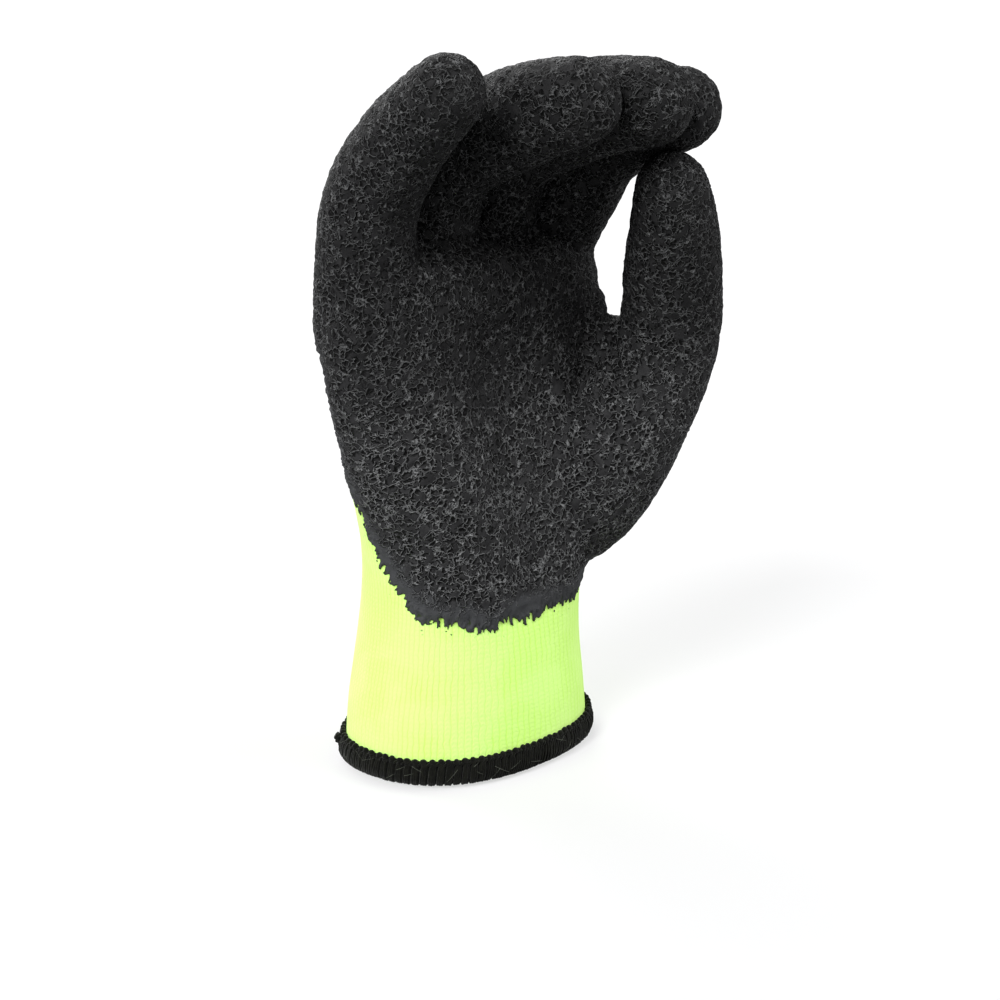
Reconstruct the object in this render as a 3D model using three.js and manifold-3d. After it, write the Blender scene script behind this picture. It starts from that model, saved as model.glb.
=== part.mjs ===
// A right-hand thermal work glove, in millimetres: a knitted liner with its rib cuff, a crinkle latex coat over the
// palm, fingers and thumb, and the overlocked binding of the hem. It is modelled as worn, with the fingers curled.
// The origin is the middle of the wrist opening, +Z runs up from the hem to the fingers, -Y is the way the palm
// faces and +X is the thumb's side.
import * as THREE from "three";
import { mergeVertices } from "three/addons/utils/BufferGeometryUtils.js";
import Module from "manifold-3d";

const wasm = await Module();
wasm.setup();

// The tables below are for a hand 182 long, and the glove is made for this one
const handLength = 192;
const tableHandLength = 182;
const sizeUp = handLength / tableHandLength;
const angles = ["lean", "splay", "turn"];

// A table at the glove's own size: lengths are sized up and angles kept.
function sized(value, name) {
  if (typeof value === "number") return angles.includes(name) ? value : value * sizeUp;
  if (Array.isArray(value)) return value.map((item) => sized(item, name));
  return Object.fromEntries(Object.entries(value).map(([key, item]) => [key, sized(item, key)]));
}

// Walls, and the gap between pieces
const knitWall = 1.8;
const coatWall = 1.0;
const gap = 0.3;

// How finely the faceted walls are cut
const handSides = 26;
const handRings = 16;
const fingerSides = 12;
const fingerStep = 9;
const tipRings = 3;
const tipCap = 0.6;

// The rounding of the hand's sections, where its two pads lie across the palm and how far each reaches, from -1 at
// the little finger's edge to 1 at the thumb's, and how long the bend at a finger joint is
const roundness = 0.87;
const ballOfThumb = { middle: 0.5, reach: 0.55 };
const heelOfHand = { middle: -0.6, reach: 0.5 };
const jointBend = 10.5;

// The hand and cuff of the liner, one row for each level, from the hem up. x and y are the middle of the section,
// wide is half its width, back and palm are how far it reaches to the back and to the palm side, ball and heel are
// how much the pads at the thumb's and the little finger's side stand out from the palm, and cup is how far the two
// edges come forward of the middle.
const handSections = sized([
  { z: 0, x: 0.2, y: 0, wide: 34.8, back: 25.5, palm: 25.5, ball: 0, heel: 0, cup: 0 },
  { z: 14, x: 0, y: 0, wide: 33.6, back: 25.5, palm: 25.5, ball: 0, heel: 0, cup: 0 },
  { z: 30, x: 0.8, y: 0, wide: 31.2, back: 24.5, palm: 24, ball: 0, heel: 0, cup: 0 },
  { z: 45, x: 2.3, y: 0, wide: 31.2, back: 23, palm: 22, ball: 2, heel: 1, cup: 0 },
  { z: 60, x: 3.5, y: 0, wide: 34.5, back: 21.5, palm: 20, ball: 4, heel: 3, cup: 0.5 },
  { z: 78, x: 2.5, y: 0.5, wide: 40.0, back: 19, palm: 17, ball: 6, heel: 5, cup: 1 },
  { z: 98, x: 0.5, y: 1.5, wide: 44.0, back: 15, palm: 14, ball: 4, heel: 5, cup: 2 },
  { z: 114, x: -0.5, y: 2, wide: 46.5, back: 13, palm: 14.5, ball: 2, heel: 3, cup: 3 },
  { z: 125, x: -1.8, y: 1, wide: 43.5, back: 13, palm: 15, ball: 0, heel: 0, cup: 3 },
  { z: 133, x: -2, y: 1, wide: 40.5, back: 11.5, palm: 11.5, ball: 0, heel: 0, cup: 3 },
  { z: 138, x: -3, y: 1, wide: 35.0, back: 5, palm: 4, ball: 0, heel: 0, cup: 2 },
]);

// The fingers. root is where each starts within the hand, with half its width and depth there, splay is its
// sideways lean and turn how far the way it bends is turned towards the thumb, in degrees. Each bone has its
// length, its lean from upright towards the palm, and half its width and depth at its far end.
const fingers = sized({
  little: {
    root: [-32, 1.5, 82],
    wide: 6,
    deep: 7,
    splay: -3,
    turn: 0,
    bones: [
      { length: 32, lean: -1, wide: 11.5, deep: 12 },
      { length: 30, lean: 6, wide: 10.9, deep: 10.8 },
      { length: 21, lean: 38, wide: 9.8, deep: 10.2 },
      { length: 23, lean: 51, wide: 8.0, deep: 8.2 },
    ],
  },
  ring: {
    root: [-12.5, 9, 102],
    wide: 7.5,
    deep: 5,
    splay: 0,
    turn: 12,
    bones: [
      { length: 18, lean: 5, wide: 10.6, deep: 10.2 },
      { length: 34, lean: 17, wide: 10.8, deep: 11.6 },
      { length: 27, lean: 64, wide: 10.4, deep: 11.4 },
      { length: 17, lean: 76, wide: 9.2, deep: 9.6 },
    ],
  },
  middle: {
    root: [11, 9.5, 102],
    wide: 7.5,
    deep: 5,
    splay: -1,
    turn: 10,
    bones: [
      { length: 20, lean: 5, wide: 10.8, deep: 10.4 },
      { length: 33, lean: 18, wide: 11.0, deep: 11.8 },
      { length: 27, lean: 68, wide: 10.6, deep: 11.6 },
      { length: 20, lean: 83, wide: 9.4, deep: 9.8 },
    ],
  },
  index: {
    root: [33, 6.5, 100],
    wide: 7.5,
    deep: 5.5,
    splay: -3,
    turn: 8,
    bones: [
      { length: 20, lean: 4, wide: 11.0, deep: 11.2 },
      { length: 39, lean: 31, wide: 11.0, deep: 11.8 },
      { length: 22, lean: 69, wide: 10.4, deep: 11 },
      { length: 8, lean: 84, wide: 9.0, deep: 9.5 },
    ],
  },
});

// The thumb, from the wrist through the ball of the thumb to its tip: the middle of each section, and half its
// size from side to side and from its nail to its pad.
const thumbSections = sized([
  { at: [16, -3, 44], wide: 11, deep: 11 },
  { at: [31, -12, 66], wide: 18, deep: 17 },
  { at: [40.5, -21, 88], wide: 17.5, deep: 16 },
  { at: [45.4, -29.4, 106], wide: 12.6, deep: 12.3 },
  { at: [41, -34, 124], wide: 12, deep: 11.5 },
  { at: [35, -39, 138], wide: 10.2, deep: 10 },
  { at: [29.5, -42.5, 148], wide: 8.2, deep: 8.2 },
]);

// How much longer the thumb's line is than its rise
const thumbLean = 1.2;

// The web between the thumb and the palm's edge
const web = sized({ from: [33, -7, 99], to: [45, -27, 99], wide: 7.8, deep: 12 });

// The edge of the latex, one row for each level. On the palm's side of y the glove is coated, with that line turned
// by turn degrees, so that the edge sweeps round from the heel of the hand to the knuckles.
const coatEdge = sized([
  { z: 36, y: -60, turn: -12 },
  { z: 38.5, y: -28, turn: -12 },
  { z: 41, y: -17, turn: -12 },
  { z: 50, y: -8, turn: -12 },
  { z: 62, y: 1, turn: -6 },
  { z: 76, y: 8, turn: 0 },
  { z: 108, y: 9, turn: 0 },
  { z: 122, y: 20, turn: 0 },
  { z: 134, y: 60, turn: 0 },
  { z: 240, y: 60, turn: 0 },
]);

// How far the block of coated space reaches past the hand, and how finely its front edge is cut
const coatReach = 120;
const coatCutStep = 20;

// How far a cutter runs past the knit's edge
const cutPast = 10;

// The binding: a channel round the knit's edge, with its outer leg thicker and rolled
const bindingHigh = 7.2;
const bindingOuter = 2.4;
const bindingInner = 1.2;
const bindingFloor = 1.2;
const bindingCrown = 0.3;
const bindingShoulder = 1.2;
const bindingEdge = 0.4;
const knitEdge = bindingFloor + gap;

const colours = { knit: 0xd8f53a, latex: 0x232325, binding: 0x1c1c1a };

const up = new THREE.Vector3(0, 0, 1);

// How much of a rounded rise of half width reach, with its top at middle, there is at place.
function bump(place, { middle, reach }) {
  const share = Math.min(1, Math.abs(place - middle) / reach);
  return (1 + Math.cos(Math.PI * share)) / 2;
}

// A row between the rows of a table, with every column on a smooth curve. place is 0 at the first row and 1 at the
// last, and counts the column named by.
function rowAt(table, by, place) {
  const start = table[0][by];
  const level = start + place * (table.at(-1)[by] - start);
  const found = table.findIndex((row) => row[by] >= level - 1e-9);
  const i = THREE.MathUtils.clamp(found - 1, 0, table.length - 2);
  const share = (level - table[i][by]) / (table[i + 1][by] - table[i][by]);
  const row = {};
  for (const column of Object.keys(table[0])) {
    const [before, from, to, after] = [-1, 0, 1, 2].map((k) => {
      return table[THREE.MathUtils.clamp(i + k, 0, table.length - 1)][column];
    });
    const leave = (to - before) / 2;
    const arrive = (after - from) / 2;
    const cube = 2 * from - 2 * to + leave + arrive;
    const square = 3 * (to - from) - 2 * leave - arrive;
    row[column] = from + share * (leave + share * (square + share * cube));
  }
  row[by] = level;
  return row;
}

// A closed geometry through rings of the same number of points. The ends are closed to their middles, or, for a
// ring of rings, the last one is joined to the first.
function loft(rings, isLoop = false) {
  const sides = rings[0].length;
  const points = rings.flat();
  const faces = [];
  const spans = isLoop ? rings.length : rings.length - 1;
  for (let i = 0; i < spans; i++) {
    const near = i * sides;
    const far = ((i + 1) % rings.length) * sides;
    for (let j = 0; j < sides; j++) {
      const next = (j + 1) % sides;
      faces.push(near + j, near + next, far + next, near + j, far + next, far + j);
    }
  }
  if (!isLoop) {
    const first = points.push(middleOf(rings[0])) - 1;
    const last = points.push(middleOf(rings.at(-1))) - 1;
    const lastRing = (rings.length - 1) * sides;
    for (let j = 0; j < sides; j++) {
      const next = (j + 1) % sides;
      faces.push(first, next, j, last, lastRing + j, lastRing + next);
    }
  }
  const geometry = new THREE.BufferGeometry().setFromPoints(points);
  geometry.setIndex(faces);
  return geometry;
}

function middleOf(ring) {
  return ring.reduce((sum, point) => sum.add(point), new THREE.Vector3()).divideScalar(ring.length);
}

function solidOf(geometry) {
  const plain = geometry.index ? geometry.toNonIndexed() : geometry.clone();
  plain.deleteAttribute("normal");
  plain.deleteAttribute("uv");
  const merged = mergeVertices(plain);
  return new wasm.Manifold(
    new wasm.Mesh({
      numProp: 3,
      vertProperties: merged.attributes.position.array,
      triVerts: new Uint32Array(merged.index.array),
    }),
  );
}

function geometryOf(solid) {
  const mesh = solid.getMesh();
  const geometry = new THREE.BufferGeometry();
  geometry.setAttribute("position", new THREE.BufferAttribute(mesh.vertProperties, 3));
  geometry.setIndex(new THREE.BufferAttribute(mesh.triVerts, 1));
  geometry.computeVertexNormals();
  return geometry;
}

function ovalRing(centre, side, out, halfWide, halfDeep) {
  const ring = [];
  for (let j = 0; j < fingerSides; j++) {
    const angle = (j / fingerSides) * 2 * Math.PI;
    const point = centre.clone().addScaledVector(side, halfWide * Math.cos(angle));
    ring.push(point.addScaledVector(out, halfDeep * Math.sin(angle)));
  }
  return ring;
}

// A tube with a round end. Each station has its middle, its way along, its side axis and its half sizes, and grow
// is added all round.
function roundEndedTube(stations, grow) {
  const rings = stations.map((station, k) => {
    const out = new THREE.Vector3().crossVectors(station.along, station.side);
    const middle = station.at.clone().addScaledVector(station.along, k === 0 ? -grow : 0);
    return ovalRing(middle, station.side, out, station.wide + grow, station.deep + grow);
  });
  const { at, along, side, wide, deep } = stations.at(-1);
  const out = new THREE.Vector3().crossVectors(along, side);
  const reach = (wide + deep) / 2 + grow;
  for (let k = 1; k <= tipRings; k++) {
    const angle = (k / (tipRings + tipCap)) * (Math.PI / 2);
    const centre = at.clone().addScaledVector(along, reach * Math.sin(angle));
    const share = Math.cos(angle);
    rings.push(ovalRing(centre, side, out, (wide + grow) * share, (deep + grow) * share));
  }
  return solidOf(loft(rings));
}

// The stations of a finger, from its start within the hand to the middle of its tip. It bends round each joint.
function fingerStations({ root, wide, deep, splay, turn, bones }) {
  const total = bones.reduce((sum, bone) => sum + bone.length, 0);
  const steps = Math.round(total / fingerStep);
  const sizes = [{ end: 0, wide, deep }];
  for (const bone of bones) sizes.push({ ...bone, end: sizes.at(-1).end + bone.length });
  const pose = new THREE.Matrix4().makeRotationY(THREE.MathUtils.degToRad(splay));
  pose.multiply(new THREE.Matrix4().makeRotationZ(THREE.MathUtils.degToRad(turn)));
  const side = new THREE.Vector3(1, 0, 0).applyMatrix4(pose);
  const at = new THREE.Vector3(...root);
  const stations = [];
  for (let k = 0; k <= steps; k++) {
    const place = (k / steps) * total;
    let lean = bones[0].lean;
    for (let i = 1; i < bones.length; i++) {
      const joint = sizes[i].end;
      const share = THREE.MathUtils.smoothstep(place, joint - jointBend, joint + jointBend);
      lean += share * (bones[i].lean - bones[i - 1].lean);
    }
    const angle = THREE.MathUtils.degToRad(lean);
    const along = new THREE.Vector3(0, -Math.sin(angle), Math.cos(angle)).applyMatrix4(pose);
    const i = Math.max(1, sizes.findIndex((size) => size.end >= place - 1e-6));
    const share = (place - sizes[i - 1].end) / (sizes[i].end - sizes[i - 1].end);
    stations.push({
      at: at.clone(),
      along,
      side,
      wide: THREE.MathUtils.lerp(sizes[i - 1].wide, sizes[i].wide, share),
      deep: THREE.MathUtils.lerp(sizes[i - 1].deep, sizes[i].deep, share),
    });
    at.addScaledVector(along, total / steps);
  }
  return stations;
}

function thumbStations() {
  const table = thumbSections.map(({ at: [x, y, z], wide, deep }) => ({ x, y, z, wide, deep }));
  const rise = table.at(-1).z - table[0].z;
  const steps = Math.round((rise * thumbLean) / fingerStep);
  const rows = [];
  for (let k = 0; k <= steps; k++) rows.push(rowAt(table, "z", k / steps));
  return rows.map(({ x, y, z, wide, deep }, k) => {
    const before = rows[Math.max(0, k - 1)];
    const after = rows[Math.min(steps, k + 1)];
    const along = new THREE.Vector3(after.x - before.x, after.y - before.y, after.z - before.z).normalize();
    const side = new THREE.Vector3(1, 1, 0);
    side.addScaledVector(along, -side.dot(along)).normalize();
    return { at: new THREE.Vector3(x, y, z), along, side, wide, deep };
  });
}

function webStations() {
  const from = new THREE.Vector3(...web.from);
  const to = new THREE.Vector3(...web.to);
  const along = to.clone().sub(from).normalize();
  const side = new THREE.Vector3().crossVectors(up, along).normalize();
  return [from, to].map((at) => ({ at, along, side, wide: web.wide, deep: web.deep }));
}

// One level ring of the hand or cuff, grown all round.
function handRing(row, z, grow) {
  const ring = [];
  for (let j = 0; j < handSides; j++) {
    const angle = (j / handSides) * 2 * Math.PI;
    const across = Math.sign(Math.cos(angle)) * Math.abs(Math.cos(angle)) ** roundness;
    const lift = Math.sign(Math.sin(angle)) * Math.abs(Math.sin(angle)) ** roundness;
    const pads = row.ball * bump(across, ballOfThumb) + row.heel * bump(across, heelOfHand);
    const reach = lift > 0 ? row.back : row.palm + pads;
    const x = row.x + (row.wide + grow) * across;
    const y = row.y + (reach + grow) * lift - row.cup * across * across;
    ring.push(new THREE.Vector3(x, y, z));
  }
  return ring;
}

// The whole hand as one solid. grow moves its surface out from the knit's outer face, and drop is how far it runs
// down past the knit's edge.
function handSolid(grow, drop) {
  const top = handSections.at(-1).z;
  const edgeRow = rowAt(handSections, "z", knitEdge / top);
  const rings = [handRing(edgeRow, knitEdge, grow)];
  if (drop > 0) rings.unshift(handRing(edgeRow, knitEdge - drop, grow));
  for (let k = 1; k <= handRings; k++) {
    const row = rowAt(handSections, "z", k / handRings);
    rings.push(handRing(row, row.z + (k === handRings ? grow : 0), grow));
  }
  let solid = solidOf(loft(rings));
  for (const finger of Object.values(fingers)) solid = solid.add(roundEndedTube(fingerStations(finger), grow));
  return solid.add(roundEndedTube(thumbStations(), grow)).add(roundEndedTube(webStations(), grow));
}

// The block of space that is coated
function coatedSpace() {
  const rings = coatEdge.map(({ z, y, turn }) => {
    const corners = [
      [-coatReach, -coatReach],
      [coatReach, -coatReach],
    ];
    for (let across = coatReach; across >= -coatReach; across -= coatCutStep) corners.push([across, y]);
    const angle = THREE.MathUtils.degToRad(turn);
    return corners.map(([across, front]) => new THREE.Vector3(across, front, z).applyAxisAngle(up, angle));
  });
  return solidOf(loft(rings));
}

function bindingGeometry() {
  const outside = gap + bindingOuter;
  const inside = -knitWall - gap - bindingInner;
  // The channel's section: down beside the knit's inner face, under its edge, up its outer face, and back round
  const section = [
    { out: -knitWall - gap, z: bindingHigh },
    { out: -knitWall - gap, z: bindingFloor },
    { out: gap, z: bindingFloor },
    { out: gap, z: bindingHigh },
    { out: gap + bindingOuter / 2, z: bindingHigh + bindingCrown },
    { out: outside - bindingEdge, z: bindingHigh - bindingShoulder },
    { out: outside, z: bindingHigh / 2 },
    { out: outside - bindingEdge / 2, z: bindingHigh / 5 },
    { out: bindingEdge * bindingOuter, z: 0 },
    { out: -knitWall, z: 0 },
    { out: inside, z: bindingFloor },
    { out: inside, z: bindingHigh - bindingShoulder / 2 },
  ];
  const top = handSections.at(-1).z;
  const rings = section.map(({ out, z }) => handRing(rowAt(handSections, "z", z / top), z, out));
  return loft(rings.reverse(), true);
}

const glove = new THREE.Group();
function addPiece(name, geometry, colour, roughness) {
  const material = new THREE.MeshStandardMaterial({ color: colour, roughness, metalness: 0 });
  const mesh = new THREE.Mesh(geometry, material);
  mesh.name = name;
  glove.add(mesh);
}

const liner = handSolid(0, 0).subtract(handSolid(-knitWall, cutPast));
const coat = handSolid(gap + coatWall, 0).subtract(handSolid(gap, cutPast)).intersect(coatedSpace());
addPiece("knit_liner", geometryOf(liner), colours.knit, 0.9);
addPiece("latex_coating", geometryOf(coat), colours.latex, 0.6);
addPiece("cuff_binding", geometryOf(solidOf(bindingGeometry())), colours.binding, 0.9);

export default glove;
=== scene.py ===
import math
import random

import bmesh
import bpy
import numpy as np
from mathutils import Matrix, Vector, noise


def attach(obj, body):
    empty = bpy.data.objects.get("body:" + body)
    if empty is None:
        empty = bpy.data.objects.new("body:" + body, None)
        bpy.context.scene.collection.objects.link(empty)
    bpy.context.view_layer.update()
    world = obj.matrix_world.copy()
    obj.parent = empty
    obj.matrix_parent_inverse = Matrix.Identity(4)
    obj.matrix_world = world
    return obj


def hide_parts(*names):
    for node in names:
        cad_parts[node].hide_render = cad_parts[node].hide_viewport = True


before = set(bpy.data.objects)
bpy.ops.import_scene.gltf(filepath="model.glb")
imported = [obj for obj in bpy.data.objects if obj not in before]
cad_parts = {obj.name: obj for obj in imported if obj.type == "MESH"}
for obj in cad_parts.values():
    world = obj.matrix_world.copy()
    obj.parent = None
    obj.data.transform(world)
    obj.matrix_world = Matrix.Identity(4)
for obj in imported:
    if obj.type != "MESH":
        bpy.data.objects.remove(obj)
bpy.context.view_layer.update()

mm = 0.001
scene = bpy.context.scene
scene.view_settings.view_transform = "Standard"


# sRGB from 0 to 255 as the linear colour that the sockets take
def linear(red, green, blue):
    parts = [channel / 255 for channel in (red, green, blue)]
    return tuple(c / 12.92 if c <= 0.04045 else ((c + 0.055) / 1.055) ** 2.4 for c in parts) + (1,)


def addObject(name, mesh):
    thing = bpy.data.objects.new(name, mesh)
    scene.collection.objects.link(thing)
    return thing


def meshFrom(bm, name):
    mesh = bpy.data.meshes.new(name)
    bm.to_mesh(mesh)
    bm.free()
    return mesh


# swaps the object's mesh for the one that its modifiers make
def applyModifiers(thing):
    graph = bpy.context.evaluated_depsgraph_get()
    mesh = bpy.data.meshes.new_from_object(thing.evaluated_get(graph))
    old = thing.data
    thing.modifiers.clear()
    thing.data = mesh
    bpy.data.meshes.remove(old)


def readPoints(mesh):
    values = np.empty(len(mesh.vertices) * 3)
    mesh.vertices.foreach_get("co", values)
    return values.reshape(-1, 3)


def readNormals(mesh):
    values = np.empty(len(mesh.vertices) * 3)
    mesh.vertex_normals.foreach_get("vector", values)
    return values.reshape(-1, 3)


def writePoints(mesh, points):
    mesh.vertices.foreach_set("co", points.ravel())
    mesh.update()


def writeAttribute(mesh, name, values):
    layer = mesh.attributes.new(name, "FLOAT", "POINT")
    layer.data.foreach_set("value", np.asarray(values, dtype=np.float32))


# Camera, floor and light

camera = {
    "azimuth": -48,
    "elevation": 16,
    "distance": 738.5 * mm,
    "metresPerPixel": 0.27956 * mm,  # at that distance
    "originPixel": (467, 739.5),  # where the middle of the wrist opening is in the picture
    "imageSize": 1000,
    "sensor": 36,
    "clip": (0.01, 20),
}


# the direction out to an azimuth and elevation in degrees, azimuth 0 being the palm's side
def towards(azimuth, elevation):
    turn, lift = math.radians(azimuth), math.radians(elevation)
    level = math.cos(lift)
    return Vector((math.sin(turn) * level, -math.cos(turn) * level, math.sin(lift)))


def placeCamera(c):
    back = towards(c["azimuth"], c["elevation"])
    turn = back.to_track_quat("Z", "Y")
    right, up = turn @ Vector((1, 0, 0)), turn @ Vector((0, 1, 0))
    across = (c["originPixel"][0] - c["imageSize"] / 2) * c["metresPerPixel"]
    height = (c["imageSize"] / 2 - c["originPixel"][1]) * c["metresPerPixel"]
    data = bpy.data.cameras.new("camera")
    data.sensor_width = c["sensor"]
    data.lens = c["sensor"] * c["distance"] / (c["imageSize"] * c["metresPerPixel"])
    data.clip_start, data.clip_end = c["clip"]
    thing = addObject("camera", data)
    thing.location = back * c["distance"] - right * across - up * height
    thing.rotation_euler = turn.to_euler()
    scene.camera = thing


# wide soft lamps far off, so the floor is as light at the horizon as under the glove
lamps = {
    "keyLamp": {"azimuth": -75, "elevation": 40, "spread": 22, "strength": 2.75},
    "leftLamp": {"azimuth": -105, "elevation": 15, "spread": 25, "strength": 1.1},
    "sideLamp": {"azimuth": 45, "elevation": 40, "spread": 50, "strength": 2.0},
    "backLamp": {"azimuth": 160, "elevation": 25, "spread": 60, "strength": 3.0},
}
worldLight = {"colour": (1, 1, 1, 1), "seen": 1.0, "cast": 0.08}


# a strength that is one number as the camera sees it and another as it lights the scene
def seenOrCast(tree, seen, cast):
    path = tree.nodes.new("ShaderNodeLightPath")
    share = tree.nodes.new("ShaderNodeMix")
    tree.links.new(path.outputs["Is Camera Ray"], share.inputs["Factor"])
    share.inputs["A"].default_value = cast
    share.inputs["B"].default_value = seen
    return share.outputs["Result"]


def placeLamps():
    for name, lamp in lamps.items():
        data = bpy.data.lights.new(name, "SUN")
        data.angle = math.radians(lamp["spread"])
        data.energy = lamp["strength"]
        thing = addObject(name, data)
        turn = towards(lamp["azimuth"], lamp["elevation"]).to_track_quat("Z", "Y")
        thing.rotation_euler = turn.to_euler()
    world = bpy.data.worlds.new("studio")
    world.use_nodes = True
    tree = world.node_tree
    background = tree.nodes["Background"]
    background.inputs["Color"].default_value = worldLight["colour"]
    tree.links.new(seenOrCast(tree, worldLight["seen"], worldLight["cast"]), background.inputs["Strength"])
    scene.world = world


# the floor looks white but throws little light back, as if the glove stood high over it
floorPlan = {
    "size": 60,
    "below": 0.6 * mm,
    "colour": (151, 151, 152),
    "glow": (0.6, 0.0),  # seen by the camera, and cast on the glove
    "roughness": 0.9,
    "gloss": 0.1,
}


def makeFloor(plan):
    bm = bmesh.new()
    bmesh.ops.create_grid(bm, x_segments=1, y_segments=1, size=plan["size"] / 2)
    bmesh.ops.translate(bm, verts=bm.verts, vec=(0, 0, -plan["below"]))
    thing = addObject("floor", meshFrom(bm, "floor"))
    material = bpy.data.materials.new("floorPaper")
    material.use_nodes = True
    tree = material.node_tree
    shader = tree.nodes["Principled BSDF"]
    shader.inputs["Base Color"].default_value = linear(*plan["colour"])
    shader.inputs["Roughness"].default_value = plan["roughness"]
    shader.inputs["Specular IOR Level"].default_value = plan["gloss"]
    shader.inputs["Emission Color"].default_value = (1, 1, 1, 1)
    tree.links.new(seenOrCast(tree, *plan["glow"]), shader.inputs["Emission Strength"])
    thing.data.materials.append(material)


placeCamera(camera)
placeLamps()
makeFloor(floorPlan)
print("camera, lamps and floor are placed")


# Shader groups

def newGroup(name, inputs, outputs):
    group = bpy.data.node_groups.new(name, "ShaderNodeTree")
    kinds = {"vector": "NodeSocketVector", "colour": "NodeSocketColor", "value": "NodeSocketFloat"}
    for label, (kind, start) in inputs.items():
        socket = group.interface.new_socket(label, in_out="INPUT", socket_type=kinds[kind])
        if start is not None:
            socket.default_value = start
    for label, kind in outputs.items():
        group.interface.new_socket(label, in_out="OUTPUT", socket_type=kinds[kind])
    given = group.nodes.new("NodeGroupInput").outputs
    out = group.nodes.new("NodeGroupOutput").inputs
    return group, given, out


# puts a socket or a plain value into a socket
def feed(tree, value, socket):
    if isinstance(value, bpy.types.NodeSocket):
        tree.links.new(value, socket)
    else:
        socket.default_value = value


def feedAll(tree, node, values):
    for label, value in values.items():
        feed(tree, value, node.inputs[label])


def doMath(tree, operation, *values):
    node = tree.nodes.new("ShaderNodeMath")
    node.operation = operation
    for socket, value in zip(node.inputs, values):
        feed(tree, value, socket)
    return node.outputs[0]


def mapRange(tree, value, low, high, start=0.0, end=1.0):
    node = tree.nodes.new("ShaderNodeMapRange")
    node.interpolation_type = "SMOOTHSTEP"
    feedAll(tree, node, {"Value": value, "From Min": low, "From Max": high, "To Min": start, "To Max": end})
    return node.outputs["Result"]


def scaleVector(tree, vector, share):
    node = tree.nodes.new("ShaderNodeVectorMath")
    node.operation = "SCALE"
    feedAll(tree, node, {0: vector, "Scale": share})
    return node.outputs[0]


def addVectors(tree, first, second):
    node = tree.nodes.new("ShaderNodeVectorMath")
    node.operation = "ADD"
    feedAll(tree, node, {0: first, 1: second})
    return node.outputs[0]


def splitPlace(tree, place):
    node = tree.nodes.new("ShaderNodeSeparateXYZ")
    tree.links.new(place, node.inputs[0])
    return node.outputs


def addNoise(tree, vector, scale, detail=2.0, distortion=0.0, output="Fac"):
    node = tree.nodes.new("ShaderNodeTexNoise")
    feedAll(tree, node, {"Vector": vector, "Scale": scale, "Detail": detail, "Distortion": distortion})
    return node.outputs[output]


# a noise about 0 in place of one about 0.5
def addWander(tree, vector, scale):
    return doMath(tree, "SUBTRACT", addNoise(tree, vector, scale), 0.5)


def addCells(tree, vector, scale, feature):
    node = tree.nodes.new("ShaderNodeTexVoronoi")
    node.feature = feature
    feedAll(tree, node, {"Vector": vector, "Scale": scale})
    return node.outputs["Distance"]


# a Mix node has several sockets named A, B and Result, so those for colours go by their places
mixPlaces = {"share": 0, "first": 6, "second": 7, "result": 2}


def mixColours(tree, share, first, second):
    node = tree.nodes.new("ShaderNodeMix")
    node.data_type = "RGBA"
    values = {mixPlaces["share"]: share, mixPlaces["first"]: first, mixPlaces["second"]: second}
    feedAll(tree, node, values)
    return node.outputs[mixPlaces["result"]]


# the place pushed about by a noise, by a share of the size that the noise's scale gives
def pushPlace(tree, place, scale, share):
    push = addNoise(tree, place, scale, detail=1.0, output="Color")
    reach = doMath(tree, "DIVIDE", share, scale)
    return addVectors(tree, place, scaleVector(tree, push, reach))


# the walls of a net of cells, where it is shown
def netLine(tree, place, scale, width, shown):
    cells = addCells(tree, place, scale, "DISTANCE_TO_EDGE")
    return doMath(tree, "MULTIPLY", mapRange(tree, cells, 0.0, width, 1.0, 0.0), shown)


# a size is a multiple of the group's Scale, so a larger one is finer, and a width is a share of a cell
crinklePlan = {
    "nets": [
        {"size": 1.0, "width": 0.09, "broken": 0.41},
        {"size": 1.5, "width": 0.12, "broken": 0.45},
    ],
    "warp": {"size": 1.5, "share": 1.2},
    "gate": {"size": 0.9, "soft": 0.1},
    "lumps": {"size": 0.7, "height": 0.6},
    "crackHeight": -0.6,
}


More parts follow.
